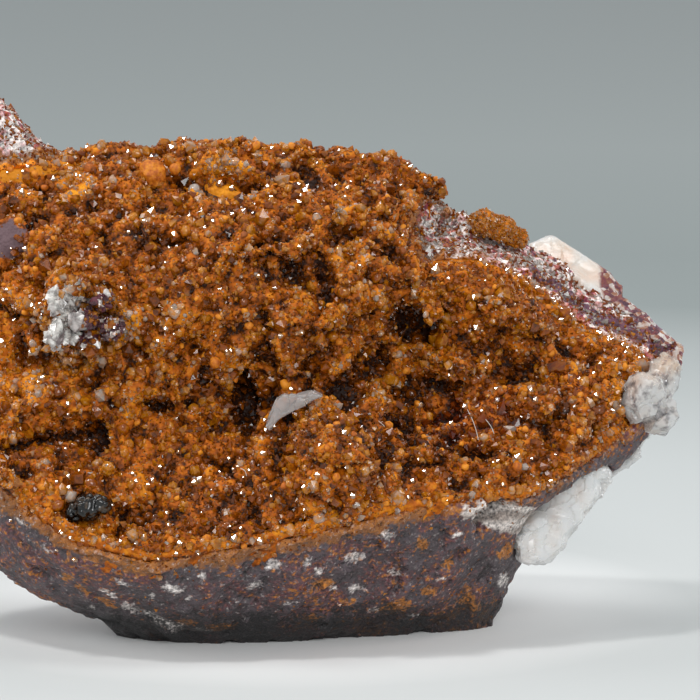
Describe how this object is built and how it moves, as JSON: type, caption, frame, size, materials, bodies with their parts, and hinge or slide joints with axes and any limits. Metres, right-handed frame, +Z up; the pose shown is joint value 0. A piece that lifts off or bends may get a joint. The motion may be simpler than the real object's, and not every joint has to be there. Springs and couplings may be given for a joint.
{
  "type": "quartz on barite mineral specimen",
  "caption": "Rough hand specimen of rock with an open hollow lined by a crust of small iron-stained quartz crystals, and white barite at one end.",
  "frame": {"origin": "on the surface that the specimen rests on, under the middle of its bounding box", "axes": "+Z up, +X along the specimen towards its pointed right end, -Y is the side with the open crystal-lined hollow"},
  "size_m": [0.0816, 0.0416, 0.0542],
  "materials": {
    "host_rock": "broken hematite-rich rock, matt, with white flecks and rust stains",
    "stained_quartz": "sparkling crust of small quartz crystals stained orange and brown by iron oxide",
    "clear_quartz": "glassy colourless quartz with a purple tinge",
    "white_barite": "translucent white, with pearly cleavage faces",
    "black_goethite": "shiny black grape-like balls"
  },
  "bodies": {
    "root": {"matrix_rock": "host_rock", "quartz_druse": "stained_quartz", "quartz_knob": "stained_quartz", "clear_quartz_knot": "clear_quartz", "barite_layer": "white_barite", "barite_wedge": "white_barite", "barite_corner": "white_barite", "barite_flake": "white_barite", "goethite_nodule": "black_goethite"}
  },
  "joints": []
}
